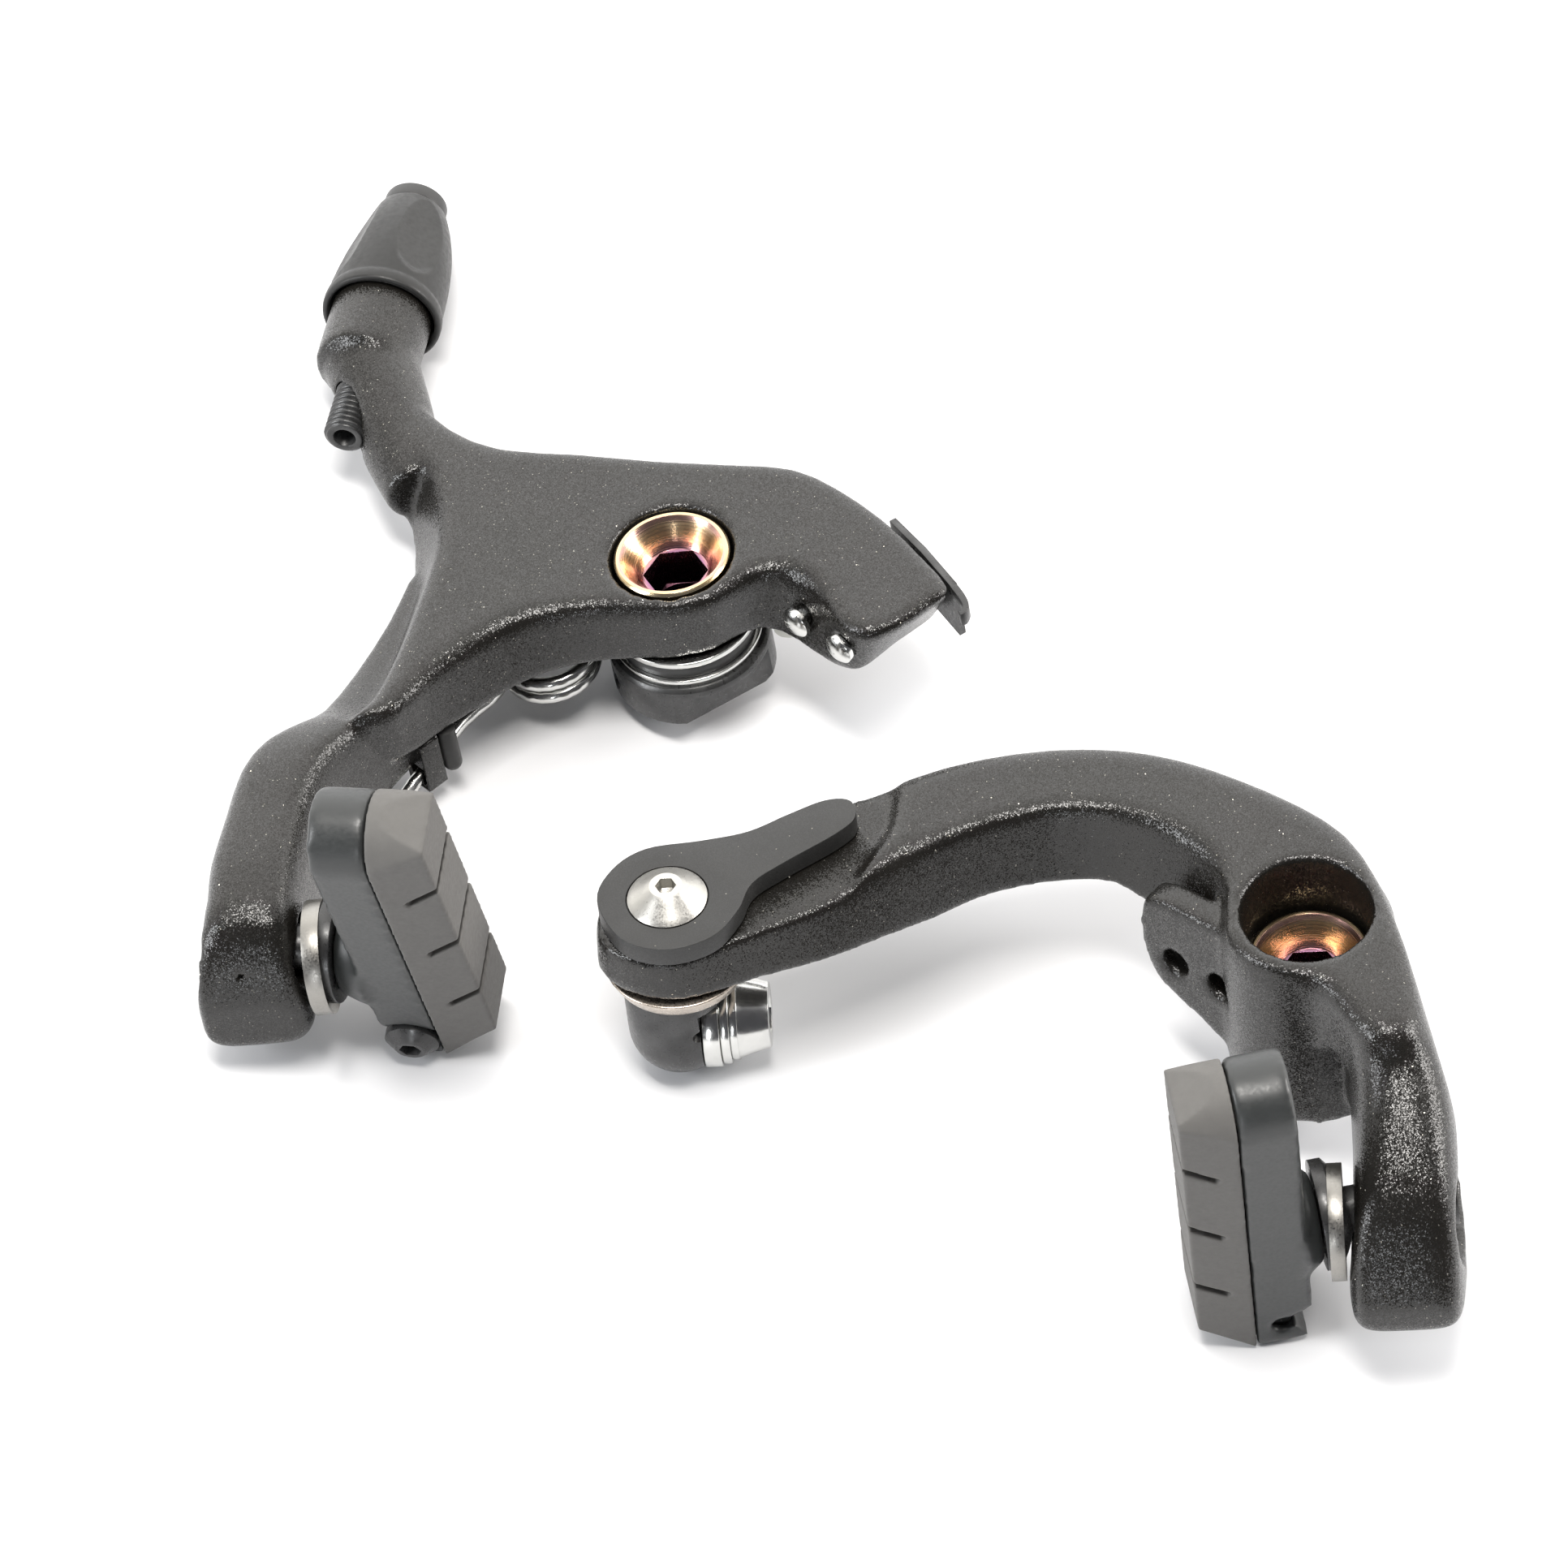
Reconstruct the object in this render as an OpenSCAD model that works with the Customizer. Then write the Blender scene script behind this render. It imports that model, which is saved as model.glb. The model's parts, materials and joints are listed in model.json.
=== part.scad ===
// Two rim-brake caliper arms laid front face up, millimetres.
// Each arm has its own frame: the pivot axis is Z and Z = 0 is the back face of the tension nut.

/* [Layout] */
// distance of the stop arm's pivot to the left of the origin
pivot_a_x = 13.9; // [0:0.1:60]
// distance of the stop arm's pivot behind the origin
pivot_a_y = 14.4; // [0:0.1:60]
// height of the stop arm's nut over the surface
pivot_a_z = 2.3; // [0:0.1:12]
// distance of the anchor arm's pivot to the right of the origin
pivot_b_x = 54; // [20:0.1:90]
// distance of the anchor arm's pivot in front of the origin
pivot_b_y = 41.7; // [0:0.1:90]
// height of the anchor arm's back face over the surface
pivot_b_z = 5.6; // [0:0.1:15]
// how far the shoe side of both arms is raised, degrees
nose_down = 7.5; // [0:0.1:15]
// roll of the stop arm, degrees
roll_a = 8.1; // [0:0.1:15]
// roll of the anchor arm, degrees
roll_b = 5; // [0:0.1:15]

/* [Pivots] */
// height of the pivot bolt's rim over the nut's back face
stack_h = 18.8; // [14:0.1:30]
// diameter of the pivot bolt's head
head_d = 13.1; // [10:0.1:18]
// depth of the conical seat in the head
seat_h = 3.2; // [1:0.1:5]
// width across the flats of the socket in the pivot bolt
socket_af = 6.4; // [5:0.1:8]
// hole through the pivot bolt for the mounting screw
through_d = 6.3; // [5.5:0.1:8]
// outer diameter of the pivot bolt's barrel
barrel_d = 9; // [7:0.1:11]
// outer diameter of the bushing
bushing_d = 11.8; // [10:0.1:14]
// running clearance between bushing and arm, on the radius
run_gap = 0.04; // [0.01:0.01:0.1]
// diameter of the tension nut
nut_d = 18.5; // [14:0.1:24]
// height of the tension nut
nut_h = 5.95; // [3:0.05:10]
// width of the tension nut across its two flats
nut_af = 13.6; // [11:0.1:18]

/* [Stop arm] */
// front face of the stop arm's plate
plate_top = 19; // [14:0.1:26]
// back face of the stop arm's plate
plate_low = 9.7; // [4:0.1:14]
// height of the cable stop's axis
stop_z = 16; // [10:0.1:22]
// angle of the cable stop's axis in the plate
stop_turn = 80; // [60:0.5:110]
// diameter of the neck
neck_d = 11.8; // [9:0.1:15]
// diameter of the threaded shank
thread_d = 5; // [4:0.1:8]
// thread pitch of the shank
pitch = 0.8; // [0.5:0.1:1.5]
// hole for the cable
cable_d = 2.6; // [1.5:0.1:4]
// largest diameter of the boot
boot_d = 14; // [10:0.1:18]
// diameter of the boot's upper end
boot_end_d = 8.2; // [6:0.1:12]
// number of flutes round the boot
flutes = 4; // [4:1:12]

/* [Anchor arm] */
// front face of the anchor arm
beam_top = 26.3; // [20:0.1:32]
// back face of the anchor arm's beam
beam_low = 15; // [8:0.1:20]
// outer diameter of the pivot boss
boss_d = 18.8; // [15:0.1:24]
// diameter of the recess over the pivot bolt
recess_d = 14.2; // [12:0.1:17]
// height of the lever's seat
seat_z = 24.6; // [20:0.1:30]
// thickness of the quick-release lever
lever_h = 2.6; // [1.5:0.1:5]

/* [Shoes] */
// length of the shoe
shoe_l = 46; // [35:0.5:60]
// height of the shoe
shoe_w = 10.4; // [8:0.1:14]
// distance from the open end to the stud, stop arm's shoe
stud_up_a = 14.5; // [10:0.05:25]
// distance from the open end to the stud, anchor arm's shoe
stud_up_b = 16; // [10:0.05:25]
// thickness of the stop arm's shoe holder
holder_a_t = 6.4; // [4:0.1:9]
// thickness of the stop arm's pad
pad_a_t = 6.4; // [3:0.1:10]
// thickness of the anchor arm's shoe holder
holder_b_t = 6.4; // [4:0.1:9]
// thickness of the anchor arm's pad
pad_b_t = 6; // [3:0.1:10]
// number of water grooves
grooves = 3; // [1:1:6]
// spacing of the water grooves
groove_step = 11.5; // [6:0.1:15]
// height of the lowest water groove over the open end
groove_low = 11.1; // [5:0.1:20]

// taper of the pad's sides, degrees
pad_taper = 12; // [0:1:25]

/* [Hidden] */
$fn = 64;
gap = 0.05;
CAST = [0.16, 0.16, 0.15];
STEEL = [0.78, 0.79, 0.8];
BLACK = [0.07, 0.07, 0.07];
BRONZE = [0.72, 0.5, 0.22];
RUBBER = [0.25, 0.25, 0.24];
PADCOL = [0.4, 0.4, 0.39];

// frames
module on_a() {
  translate([-pivot_a_x, pivot_a_y, pivot_a_z]) rotate([0, -roll_a, 0]) rotate([-nose_down, 0, 0]) children();
}
module on_b() {
  translate([pivot_b_x, -pivot_b_y, pivot_b_z]) rotate([0, -roll_b, 0]) rotate([-nose_down, 0, 0]) children();
}
// shoe frames: X from the leg to the rim, Z the length of the shoe, origin where the stud leaves the holder
lean_a = 9.7;
lean_b = 5.2;
yaw_a = 9;
yaw_b = -10;
pitch_a = 5.9;
pitch_b = 0.9;
shoe_a_at = [-51.86, -32.03, 14.62];
shoe_b_at = [52.5, -67.7, 16.85];
module on_shoe_a() {
  translate(shoe_a_at) rotate([0, -lean_a, 0]) rotate([pitch_a, 0, 0]) rotate([0, 0, -yaw_a]) children();
}
module on_shoe_b() {
  translate(shoe_b_at) rotate([0, -lean_b, 0]) rotate([pitch_b, 0, 0]) rotate([0, 0, 180 - yaw_b]) children();
}
// cable stop frame: Z along the cable, origin at the open end of the thread
stop_at = [-38.75, 25.3, stop_z];
module on_stop() { translate(stop_at) rotate([0, 0, stop_turn]) rotate([0, 90, 0]) children(); }

// curves
function spline(p, q, r, s, t) =
  0.5 * (2 * q + (r - p) * t + (2 * p - 5 * q + 4 * r - s) * t * t + (3 * q - p - 3 * r + s) * t * t * t);
function round_trip(P, n) = let (N = len(P))
  [for (i = [0 : N - 1], k = [0 : n - 1])
    spline(P[(i + N - 1) % N], P[i], P[(i + 1) % N], P[(i + 2) % N], k / n)];
function one_way(P, n) = let (N = len(P))
  [for (i = [0 : N - 2], k = [0 : (i == N - 2 ? n : n - 1)])
    spline(P[max(0, i - 1)], P[i], P[i + 1], P[min(N - 1, i + 2)], k / n)];
function ringed(R) = let (M = len(R), N = len(R[0]))
  [[for (k = [0 : M - 1]) each R[k]],
   concat([[for (i = [0 : N - 1]) i]], [[for (i = [N - 1 : -1 : 0]) (M - 1) * N + i]],
     [for (k = [0 : M - 2], i = [0 : N - 1]) let (j = (i + 1) % N)
        [k * N + i, (k + 1) * N + i, (k + 1) * N + j]],
     [for (k = [0 : M - 2], i = [0 : N - 1]) let (j = (i + 1) % N) [k * N + i, (k + 1) * N + j, k * N + j]])];
module skin(R) { s = ringed(R); polyhedron(points = s[0], faces = s[1], convexity = 8); }
function side_of(Q, i) = let (N = len(Q), a = Q[(i + N - 1) % N], b = Q[(i + 1) % N],
    d = [b[0] - a[0], b[1] - a[1]])
  [d[1], -d[0]] / max(0.001, norm(d));

// plate whose edge runs from a front outline to a back outline, both edges rounded
// station: front x, y, back x, y, back z, front rounding
function plate_ring(Q, zt, a, low) =
  [for (i = [0 : len(Q) - 1]) let (s = Q[i], n = side_of(Q, i), h = zt - s[4], r = low > 0 ? low : s[5],
      drop = low > 0 ? h - r * (1 - cos(a)) : r * (1 - cos(a)), f = drop / h, c = r * (1 - sin(a)))
    [s[0] + (s[2] - s[0]) * f - n[0] * c, s[1] + (s[3] - s[1]) * f - n[1] * c, zt - drop]];
module edged_plate(P, zt, n = 2, low_r = 0.5, steps = 3) {
  Q = round_trip(P, n);
  skin(concat([for (k = [0 : steps]) plate_ring(Q, zt, 90 * k / steps, low_r)],
    [for (k = [steps : -1 : 0]) plate_ring(Q, zt, 90 * k / steps, 0)]));
}
// finger: sections across Y given as y, left x, right x, back z, front z, lean of the sides
function blunt(c, e) = sign(c) * pow(abs(c), 2 / e);
function finger_ring(s, e, m) =
  [for (k = [0 : m - 1]) let (a = 360 * k / m, u = blunt(cos(a), e), w = blunt(sin(a), e),
      x = (s[1] + s[2]) / 2 + u * (s[2] - s[1]) / 2 - s[5] * (w + 1) / 2 * (u > 0 ? 1 : -1) * abs(u))
    [x, s[0], (s[3] + s[4]) / 2 + w * (s[4] - s[3]) / 2]];
module finger(S, e = 4, n = 2, m = 24) {
  Q = one_way(S, n);
  skin([for (q = Q) finger_ring(q, e, m)]);
}
// round bar along a curve: x, y, z, radius
module bar(P, n = 6, m = 10) {
  Q = one_way(P, n);
  R = [for (i = [0 : len(Q) - 1]) let (a = Q[max(0, i - 1)], b = Q[min(len(Q) - 1, i + 1)],
      d = [b[0] - a[0], b[1] - a[1], b[2] - a[2]], t = d / norm(d), c = cross([0, 0, 1], t),
      u = norm(c) < 0.05 ? [1, 0, 0] : c / norm(c), v = cross(t, u))
    [for (k = [0 : m - 1]) [Q[i][0], Q[i][1], Q[i][2]]
      + Q[i][3] * (cos(360 * k / m) * u + sin(360 * k / m) * v)]];
  skin(R);
}

// stop arm casting
// front x, y, back x, y, back z, front rounding; starts at the shoe corner and runs along the front edge
function stop_outline() = [
  [-35.6, -21.2, -36, -20, plate_low, 1.6], [-30.9, -21, -30.5, -19.5, plate_low, 1.7],
  [-27.2, -16.3, -26.5, -16.2, plate_low, 1.8], [-22.1, -11.5, -21, -12, plate_low, 1.8],
  [-16, -8.3, -15.4, -8.7, plate_low, 1.8], [-8, -7.6, -8.6, -7.4, plate_low, 1.6],
  [0, -8.7, -1.5, -7.9, plate_low, 1.5], [5.2, -7.4, 3.6, -7.2, plate_low, 1.5],
  [8.6, -4.8, 7.3, -4.8, plate_low, 1.6], [11.6, -3.9, 10.6, -5, plate_low, 1.7],
  [14.6, -5.2, 13.6, -7.6, plate_low, 1.8], [17, -8.4, 16.6, -10.6, plate_low, 1.6],
  [18.7, -12.6, 19.2, -13.2, plate_low + 1.3, 1.4], [21.6, -15.4, 21.2, -12.8, plate_low + 1.5, 1.5],
  [25.6, -14.6, 24.2, -9.4, plate_low + 1.3, 1.5], [30, -11.2, 27.6, -5.2, plate_low, 1.4],
  [31.4, -9, 28.6, -3.2, plate_low, 1], [28.4, -3.8, 27, -1.4, plate_low, 1],
  [23.9, 2.8, 23.6, 3.2, plate_low, 1.2], [18.5, 8.6, 18.4, 8.7, plate_low, 1.4],
  [13.4, 12.2, 13.4, 12.2, plate_low, 1.4], [7, 13.6, 7, 13.6, plate_low, 1.4],
  [-2.2, 15.3, -2.2, 15.3, plate_low, 1.4], [-11, 17.4, -11, 17.4, plate_low, 1.4],
  [-20, 19.4, -20, 19.4, plate_low, 1.6], [-26, 23.4, -26, 23.4, plate_low, 1.8],
  [-30.2, 29, -31, 29.4, plate_low, 2], [-32.8, 33.4, -34, 34.4, plate_low, 2],
  [-35.8, 32.6, -37, 33.8, plate_low, 1.8], [-35.4, 27.4, -36.4, 27.8, plate_low, 1.6],
  [-31.6, 21.4, -34.2, 21.6, plate_low, 1.4], [-27.6, 15.6, -31.8, 15.4, plate_low, 1.2],
  [-26.2, 10, -31.3, 9.6, plate_low, 1.2], [-26.4, 4, -31.2, 3.6, plate_low, 1.2],
  [-27.9, -3.2, -32.6, -4, plate_low, 1.2], [-30, -11.2, -34.6, -12, plate_low, 1.2],
  [-32.6, -18, -36.4, -17.4, plate_low, 1.3]];
leg_a = [[7, -31.4, -23, 6.8, 12, 0], [0, -33.6, -23, 6.2, 12.4, 0], [-8, -37.2, -25, 5.6, 13, 0.2],
  [-15, -40.6, -28.5, 4.8, 14.6, 0.4], [-19, -43.4, -31.6, 4, 17, 0.6], [-22.6, -46.6, -34, 3.4, 18.8, 0.8],
  [-27, -48.8, -36.4, 2.6, 19.6, 1], [-33.4, -50.2, -38, 2, 19.6, 1.2], [-40, -51.4, -38.8, 1.6, 19.6, 1.2],
  [-45, -51.6, -39.2, 1.4, 19.2, 1.2], [-49.4, -52.2, -39.4, 1.4, 18, 1], [-52.4, -52.6, -39.8, 1.8, 14, 0.6],
  [-54, -51.8, -41, 2.8, 9.4, 0.2]];
neck_bar = [[-29.8, 17, 14.4, 4], [-32, 23, 14.7, 4.5], [-33.9, 29.6, 15.2, 4.95], [-36.8, 38.6, 15.9, 5.55]];
rivet_at = [[13.9, -7, 13.8], [19, -12.7, 15]];
rivet_turn = 228.5;
slot_a = [-46.1, -46.9, 11.2];

module stop_casting() {
  edged_plate(stop_outline(), plate_top);
  finger(leg_a);
  bar(neck_bar, 3, 20);
  on_stop() translate([0, 0, 10.6]) cylinder(h = 12.2, d = neck_d);
}
module cable_stop_arm() color(CAST) on_a() difference() {
  resize([0, 0, 0]) stop_casting();
  // pivot bore, head recess and spring post hole
  translate([0, 0, 3]) cylinder(h = 20, r = bushing_d / 2 + run_gap);
  translate([0, 0, stack_h - 5.1]) cylinder(h = 12, d = head_d + 0.8);
  // tapped hole of the cable stop
  on_stop() translate([0, 0, -8]) cylinder(h = 40, d = thread_d + 0.12);
  // rivet holes
  for (p = rivet_at) translate(p) rotate([0, 0, rivet_turn]) rotate([0, 90, 0])
    translate([0, 0, -20]) cylinder(h = 30, d = 2.3);
  // long slot of the shoe bolt, with a wider pocket on the outside
  shoe_slot(slot_a, -yaw_a, 1, 1.4, 9.2, 1);
}
module shoe_slot(c, turn, hand, play, head, floor_x) {
  translate(c) rotate([0, 0, turn]) rotate([0, 90, 0]) {
    for (s = [-1, 1]) translate([0, s * play, -15]) cylinder(h = 30, d = 5.6);
    translate([-2.8, -play, -15]) cube([5.6, 2 * play, 30]);
    for (s = [-1, 1]) translate([0, s * play, hand > 0 ? floor_x - 20 : floor_x]) cylinder(h = 20, d = head);
    translate([-head / 2, -play, hand > 0 ? floor_x - 20 : floor_x]) cube([head, 2 * play, 20]);
  }
}

// cable adjuster
module cable_adjuster() color(BLACK) on_a() on_stop() difference() {
  union() {
    cylinder(h = boot_top - 4, d = thread_d - 2 * 0.42);
    for (k = [0 : 9]) translate([0, 0, 0.5 + k * pitch]) rotate_extrude()
      polygon([[1.5, -0.38], [thread_d / 2 - 0.45, -0.38], [thread_d / 2, -0.1], [thread_d / 2, 0.1],
        [thread_d / 2 - 0.45, 0.38], [1.5, 0.38]]);
    translate([0, 0, 8.6]) cylinder(h = 16, d = thread_d);
    translate([0, 0, 24]) cylinder(h = boot_top - 26, d = 7.2);
  }
  translate([0, 0, -1]) cylinder(h = 50, d = cable_d);
  translate([0, 0, 29]) cylinder(h = 20, d = 4.6);
}
boot_low = 19;
flute_turn = -7.4;
boot_top = 36.1;
module adjuster_boot() color(RUBBER) on_a() on_stop() difference() {
  rotate_extrude($fn = 96) polygon(concat(
    [[7.2 / 2 + gap, boot_top - 1.9], [7.2 / 2 + gap, boot_low + 4.6], [neck_d / 2 + 0.3, boot_low + 4.3],
     [neck_d / 2 + 0.35, boot_low], [boot_d / 2 - 0.3, boot_low], [boot_d / 2, boot_low + 0.4],
     [boot_d / 2, boot_low + 1.4]],
    [for (k = [0 : 8]) let (t = k / 8)
      [boot_d / 2 - 0.25 - (boot_d - boot_end_d - 0.5) / 2 * pow(t, 2.4),
       boot_low + 2 + t * (boot_top - boot_low - 2.3)]],
    [[boot_end_d / 2 - 0.4, boot_top], [3.2, boot_top], [3.2, boot_top - 1.9]]));
  for (k = [0 : flutes - 1]) rotate([0, 0, 360 * (k + 0.5) / flutes + flute_turn])
    translate([boot_d / 2 + 19.25, 0, boot_low + 4.8]) rotate([0, -8.5, 0]) cylinder(h = 22, r = 20, $fn = 160);
}
module boot_cap() color(BLACK) on_a() on_stop() difference() {
  union() {
    translate([0, 0, boot_top - 1.85]) cylinder(h = 3, d = 6.3);
    translate([0, 0, boot_top + 0.02]) cylinder(h = 1.95, d = 7.4);
  }
  translate([0, 0, boot_top - 5]) cylinder(h = 10, d = cable_d);
}

// pivot stack
module pivot_bolt(low) difference() {
  rotate_extrude() polygon([[through_d / 2, low], [barrel_d / 2 - 0.4, low], [barrel_d / 2, low + 0.4],
    [barrel_d / 2, stack_h - 5], [head_d / 2, stack_h - 5], [head_d / 2, stack_h - 0.3],
    [head_d / 2 - 0.3, stack_h], [head_d / 2 - 0.7, stack_h], [socket_af * 0.58, stack_h - seat_h],
    [through_d / 2, stack_h - seat_h]]);
  translate([0, 0, stack_h - seat_h - 5]) cylinder(h = 6, d = socket_af / cos(30), $fn = 6);
}
module washer(id, od, z, h) translate([0, 0, z]) difference() {
  cylinder(h = h, d = od);
  translate([0, 0, -1]) cylinder(h = h + 2, d = id);
}
module bushing(z0, z1) washer(barrel_d + 2 * gap, bushing_d, z0, z1 - z0);
module pivot_bolt_a() color(BRONZE) on_a() pivot_bolt(0.6);
module bushing_a() color(STEEL) on_a() bushing(nut_h + 0.02, stack_h - 5.02);
module washer_lower_a() color(STEEL) on_a() washer(bushing_d + 2 * gap, 17, nut_h + 0.02, 0.85);
module spacer_a() color(BLACK) on_a() washer(bushing_d + 2 * gap, 15.9, nut_h + 0.9, 1.75);
module washer_upper_a() color(STEEL) on_a() washer(bushing_d + 2 * gap, 16.6, nut_h + 2.68, 0.75);
module tension_nut_a() color(BLACK) on_a() difference() {
  rotate_extrude() polygon([[barrel_d / 2 + gap, 0], [nut_d / 2 - 0.7, 0], [nut_d / 2, 0.7],
    [nut_d / 2, nut_h - 0.4], [nut_d / 2 - 0.4, nut_h], [barrel_d / 2 + gap, nut_h]]);
  for (s = [0, 180]) rotate([0, 0, -58 + s]) translate([nut_af / 2, -15, -1]) cube([10, 30, nut_h - 0.2]);
  rotate([0, 0, 199]) translate([barrel_d / 2, 0, 2.9]) rotate([0, 90, 0]) cylinder(h = 12, d = 3.1);
}
module nut_grub_screw() color(BLACK) on_a() rotate([0, 0, 199]) translate([barrel_d / 2 + 0.1, 0, 2.9])
  rotate([0, 90, 0]) difference() {
    cylinder(h = (nut_d - barrel_d) / 2 - 0.65, d = 3);
    translate([0, 0, (nut_d - barrel_d) / 2 - 2.35]) cylinder(h = 3, d = 1.7, $fn = 6);
  }

// spring parts under the stop arm
coil_at = [-15.6, -2.2];
coil_r = 5;
wire_r = 0.9;
function coil_pt(a) = [coil_at[0] + coil_r * cos(a), coil_at[1] + coil_r * sin(a),
  3.1 + (a + 60) / 360 * 1.95, wire_r];
module return_spring() color(STEEL) on_a() {
  bar(concat([[11.4, 2.4, 7.6, wire_r], [10.6, 7.6, 7.4, wire_r], [4.6, 11.4, 7.2, wire_r],
    [-4, 10.2, 7.4, wire_r],
      [-10.4, 5.4, 7.7, wire_r]],
    [for (k = [0 : 24]) coil_pt(900 - k * 30)],
    [[-22, -6, 4.6, wire_r], [-25.6, -9.4, 4.5, wire_r], [-29.4, -15.8, 4, wire_r],
     [-31.4, -18.2, 3.3, wire_r], [-33, -21.4, 2.6, wire_r]]), 2, 8);
}
module spring_sleeve() color([0.8, 0.8, 0.76]) on_a()
  translate([11.4, 2.3, 7.6]) rotate([90, 0, 2]) difference() {
  cylinder(h = 4.6, d = 3.2);
  translate([0, 0, -1]) cylinder(h = 3, d = 2 * wire_r + 0.2);
}
module spring_collar() color(CAST) on_a() translate([-29.4, -15.8, 4]) rotate([0, 0, 43]) difference() {
  translate([-1.3, -1.8, -1.8]) cube([2.6, 3.6, 7.4]);
  translate([-5, -1.35, -1.5]) cube([10, 2.7, 3]);
}
module bumper() color(BLACK) on_a() translate([-26.48, -15.1, 4.2]) {
  cylinder(h = 5.4, d = 2.2);
  sphere(d = 2.2);
}

// nose
module nose_rivets() color(STEEL) on_a() for (p = rivet_at) translate(p) rotate([0, 0, rivet_turn])
  rotate([0, 90, 0]) {
    translate([0, 0, -9]) cylinder(h = 9.6, d = 2.2);
    translate([0, 0, 0.35]) intersection() {
      cylinder(h = 2, d = 3.6);
      translate([0, 0, -1.3]) sphere(d = 5.2);
    }
  }
module wear_plate() color(BLACK) on_a() {
  translate([0, 0, 9.6]) linear_extrude(height = 7.9)
    polygon([[24.24, 3.38], [24.92, 3.77], [28.52, -1.43], [31.92, -7.18], [31.24, -7.62], [27.78, -1.82]]);
  translate([0, 0, 15.7]) linear_extrude(height = 1.8)
    polygon(concat([for (p = one_way([[31.75, -7], [32.7, -8.8], [33.2, -10.4], [32.9, -11.6], [32.3, -12]], 4))
      p],
      [for (p = one_way([[32, -11.4], [32.4, -11.2], [32.5, -10.4], [32, -9.2], [31.1, -7.5]], 4)) p]));
}

// shoes
module shoe_outline(up, c = 0) {
  translate([-shoe_w / 2 + c, -up]) square([shoe_w - 2 * c, shoe_l - shoe_w / 2]);
  translate([0, shoe_l - up - shoe_w / 2]) circle(d = shoe_w - 2 * c);
}
module along_x(x0, x1) translate([x0, 0, 0]) rotate([90, 0, 90]) linear_extrude(height = x1 - x0) children();
back_a = 2.9;
back_b = 1.8;
module shoe_holder(shell_x, t, up) difference() {
  union() {
    along_x(shell_x, shell_x + t) shoe_outline(up);
    rotate([0, 90, 0]) cylinder(h = shell_x + 0.5, d1 = 9.6, d2 = 12.4);
  }
  // channel for the pad, open at the lower end
  along_x(shell_x + 2.2, shell_x + t + 1) union() {
    shoe_outline(up, 1.5);
    translate([-2.4, -up - 3]) square([4.8, 12]);
  }
  rotate([0, 90, 0]) translate([0, 0, -1]) cylinder(h = 2.6, d = 5.1);
  // seat of the retaining screw, and the back cut away above the open end
  translate([shell_x + t / 2 + 0.1, -shoe_w / 2 - 1, 3.3 - up]) rotate([-90, 0, 0]) cylinder(h = 2, d = 6.5);
  translate([shell_x + t / 2 + 0.1, -shoe_w, 3.3 - up]) rotate([-90, 0, 0]) cylinder(h = 2 * shoe_w, d = 2.6);
  translate([shell_x - 0.2, -10, -up - 1]) rotate([0, 32, 0]) translate([-6, 0, -6]) cube([6, 20, 12]);
}
module brake_pad(shell_x, hold, t, up) difference() {
  union() {
    along_x(shell_x + hold + 0.02, shell_x + hold + t) shoe_outline(up);
    along_x(shell_x + 2.3, shell_x + hold + 0.1) shoe_outline(up, 1.6);
  }
  for (k = [0 : grooves - 1])
    translate([shell_x + hold + t - 3.7, 0, groove_low - up + k * groove_step])
      rotate([0, -30, 0]) translate([0, -10, -0.4]) cube([10, 20, 0.8]);
  // tapered sides and slanted ends
  for (s = [-1, 1]) translate([shell_x + hold, s * shoe_w / 2, -40]) rotate([0, 0, -s * pad_taper])
    translate([-1, s > 0 ? 0 : -8, 0]) cube([30, 8, 100]);
  translate([shell_x + hold, -10, shoe_l - up + 0.4]) rotate([0, 16, 0]) cube([30, 20, 20]);
  translate([shell_x + hold, -10, -up]) rotate([0, -34, 0]) translate([-4, 0, -20]) cube([30, 20, 20]);
  // hole for the retaining screw
  translate([shell_x + hold / 2 + 0.1, -shoe_w, 3.3 - up]) rotate([-90, 0, 0])
    cylinder(h = 2 * shoe_w, d = 2.6);
}
module pad_screw(shell_x, t, up)
  translate([shell_x + t / 2 + 0.1, -shoe_w / 2, 3.3 - up]) rotate([90, 0, 0]) difference() {
  union() {
    translate([0, 0, -0.95]) cylinder(h = 1.1, d = 6);
    translate([0, 0, 0.15]) cylinder(h = 1.1, d1 = 6, d2 = 3.4);
    translate([0, 0, -9]) cylinder(h = 8.2, d = 2.4);
  }
  translate([0, 0, -0.1]) cylinder(h = 3, d = 2.2 / cos(30), $fn = 6);
}
module shoe_stud(l) difference() {
  union() {
    rotate([0, 90, 0]) translate([0, 0, -l]) cylinder(h = l + 1.1, d = 5);
    rotate([0, 90, 0]) translate([0, 0, -l - 2.6]) cylinder(h = 4, d = 7.8);
  }
  rotate([0, 90, 0]) translate([0, 0, -l - 3]) cylinder(h = 2.6, d = 4 / cos(30), $fn = 6);
}
// the two washers meet in a ball seat, so the shoe can be set at a slant; the dished one lies flat on the leg
seat_r = 9;
washer_d = 12;
function seat_at(rim) = sqrt(seat_r * seat_r - washer_d * washer_d / 4) - rim - gap;
module ball_washer(rim) difference() {
  intersection() {
    rotate([0, 90, 0]) translate([0, 0, -gap - 5]) cylinder(h = 5, d = washer_d);
    translate([seat_at(rim), 0, 0]) sphere(r = seat_r, $fn = 96);
  }
  rotate([0, 90, 0]) translate([0, 0, -8]) cylinder(h = 10, d = 5.3);
}
module dish_washer(rim, turn, face) translate([seat_at(rim), 0, 0]) rotate([0, 0, turn]) difference() {
  rotate([0, 90, 0]) translate([0, 0, -face]) cylinder(h = face - 6.5, d = washer_d + 0.6);
  rotate([0, 90, 0]) sphere(r = seat_r + gap, $fn = 96);
  rotate([0, 90, 0]) translate([0, 0, -12]) cylinder(h = 12, d = 8.6);
}
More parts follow.
